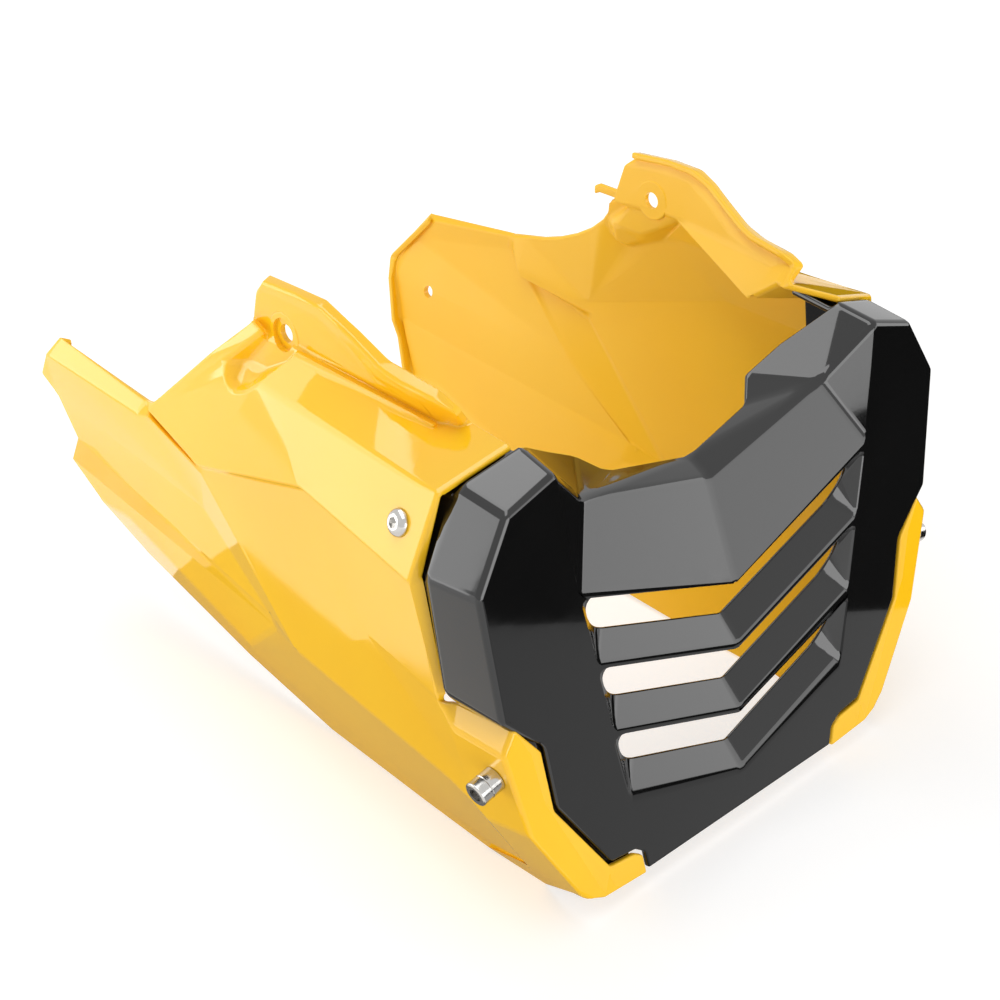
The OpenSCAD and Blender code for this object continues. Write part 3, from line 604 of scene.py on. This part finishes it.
def screw(name, point, out, head, foot, socket):
    """A screw whose head has its foot at that height over the seat, with its hexagon socket."""
    piece = turned(name, point, out, POINT + [(SHANK, foot)] + [(r, foot + h) for r, h in head])
    width, length, middle = socket
    cut(piece, rod(width / 2, length, point + out * (foot + middle) * MM, out, sides=6))
    return piece


def fit(piece, node):
    smooth(piece, angle=40)
    dress(piece, node, steel)


for side, word in ((LEFT, "left"), (RIGHT, "right")):
    point, out = seat(*BUTTON_SEAT, side)
    button = screw(f"{word}_button_head", point, out, BUTTON_HEAD, 0.0, BUTTON_SOCKET)
    fit(button, f"{word}_button_screw")

    point, out = seat(*CAP_SEAT, side)
    collar = turned(f"{word}_collar", point, out, COLLAR)
    cut(collar, rod(COLLAR_BORE / 2, COLLAR_CUTTER, point, out))
    fit(collar, f"{word}_spacer_collar")
    cap = screw(f"{word}_cap_head", point, out, CAP_HEAD, CAP_FOOT, CAP_SOCKET)
    fit(cap, f"{word}_cap_screw")


# Room, light and camera, in metres
def soft_panel(name, middle, aim, width, height, radiance, turn=0):
    """A studio soft box: an area lamp of that radiance, facing the point aim."""
    lamp = bpy.data.lights.new(name, "AREA")
    lamp.shape, lamp.size, lamp.size_y = "RECTANGLE", width, height
    lamp.energy = radiance * math.pi * width * height
    holder = bpy.data.objects.new(name, lamp)
    holder.location = middle
    facing = (Vector(aim) - Vector(middle)).to_track_quat("-Z", "Y").to_matrix()
    holder.rotation_euler = (facing @ Matrix.Rotation(math.radians(turn), 3, "Z")).to_euler()
    holder.visible_camera = False
    bpy.context.scene.collection.objects.link(holder)


GRILLE_FRONT = (0, 0, 0.16)        # the point that both front lamps face
soft_panel("overhead", (-0.19, 0.115, 1.3), aim=(-0.19, 0.116, 0), width=0.62, height=1.7, radiance=3.0,
           turn=-28)
soft_panel("left_rear", (-0.588, 0.42, 0.265), aim=(-0.12, -0.14, 0.265), width=0.56, height=0.47,
           radiance=2.5)
soft_panel("front_right", (0.95, -1.05, 0.42), aim=GRILLE_FRONT, width=1.3, height=0.7, radiance=1.5)
soft_panel("front_left", (-0.15, -1.2, 0.24), aim=GRILLE_FRONT, width=0.8, height=0.5, radiance=3.2)


def flat_card(name, middle, width, depth, height, turn=0):
    """A plane laid on the floor, as part of the studio."""
    bpy.ops.object.select_all(action="DESELECT")
    bpy.ops.mesh.primitive_plane_add(size=1, location=(*middle, height), rotation=(0, 0, math.radians(turn)))
    made = bpy.context.object
    made.name = name
    made.scale = (width, depth, 1)
    settle(made)
    return made


def only_in_gloss(made, grey):
    """A card that only reflections see, of that grey."""
    look = Look(made.name)
    made.data.materials.append(look.set(
        Base_Color=(0.01, 0.01, 0.01, 1), Roughness=0.9, Specular_IOR_Level=0.0,
        Emission_Color=(grey, grey, grey, 1), Emission_Strength=1.0))
    made.visible_camera = made.visible_diffuse = made.visible_transmission = made.visible_shadow = False


# a pale floor with a glow of its own, which grows further off, where the lamps fade
FLOOR_SIZE, FLOOR_HEIGHT = 12, -0.0002
NEAR, FAR, NEAR_GLOW, FAR_GLOW = 0.25, 1.2, 0.56, 1.0
floor = flat_card("floor", (0, 0), FLOOR_SIZE, FLOOR_SIZE, FLOOR_HEIGHT)
paper = Look("pale_floor")
paper.set(Base_Color=(0.55, 0.55, 0.55, 1), Roughness=0.9, Specular_IOR_Level=0.1)
away = paper.node("ShaderNodeVectorMath", out="Value", settings={"operation": "LENGTH"}, i0=paper.place)
glow = paper.node("ShaderNodeEmission", Color=paper.spread(away, NEAR, FAR, NEAR_GLOW, FAR_GLOW),
                  Strength=1.0)
lit = paper.node("ShaderNodeAddShader", i0=Wire(paper, paper.shader.outputs[0]), i1=glow)
paper.tree.links.new(lit.socket, paper.tree.nodes["Material Output"].inputs["Surface"])
floor.data.materials.append(paper.material)

# the shade under the part, a grey board before it and a black one off to the right, which only the
# gloss mirrors
only_in_gloss(flat_card("shade_card", (0, -0.0265), 0.332, 0.330, height=0.0004), grey=0.2)
only_in_gloss(flat_card("grey_card", (0.16, -0.44), 0.48, 0.514, height=0.0006), grey=0.5)
only_in_gloss(flat_card("black_card", (1.32132, -0.7931), 2.5, 5.0, height=0.0010, turn=-31), grey=0.0)

# a white room to the camera and in reflections, and a dim one for the rest of the light
ROOM_LIGHT = 0.33
world = bpy.data.worlds.new("studio")
bpy.context.scene.world = world
world.use_nodes = True
sky = world.node_tree
path = sky.nodes.new("ShaderNodeLightPath")
white, room = sky.nodes["Background"], sky.nodes.new("ShaderNodeBackground")
for background, strength in ((white, 1.0), (room, ROOM_LIGHT)):
    background.inputs["Color"].default_value = (1, 1, 1, 1)
    background.inputs["Strength"].default_value = strength
seen_white = path.outputs["Is Camera Ray"]
for kind in ("Is Glossy Ray", "Is Transmission Ray"):
    either = sky.nodes.new("ShaderNodeMath")
    either.operation, either.use_clamp = "ADD", True
    sky.links.new(seen_white, either.inputs[0])
    sky.links.new(path.outputs[kind], either.inputs[1])
    seen_white = either.outputs[0]
mixed = sky.nodes.new("ShaderNodeMixShader")
sky.links.new(seen_white, mixed.inputs[0])
sky.links.new(room.outputs[0], mixed.inputs[1])
sky.links.new(white.outputs[0], mixed.inputs[2])
sky.links.new(mixed.outputs[0], sky.nodes["World Output"].inputs["Surface"])

# the camera, at the photo's viewing angle
lens = bpy.data.cameras.new("camera")
lens.lens, lens.sensor_width = 64.8, 36
camera = bpy.data.objects.new("camera", lens)
camera.location = (-0.4685, -0.52615, 0.4935)
camera.rotation_euler = Vector((0.5889, 0.6299, -0.5064)).to_track_quat("-Z", "Y").to_euler()
bpy.context.scene.collection.objects.link(camera)
bpy.context.scene.camera = camera
bpy.context.scene.view_settings.view_transform = "Standard"
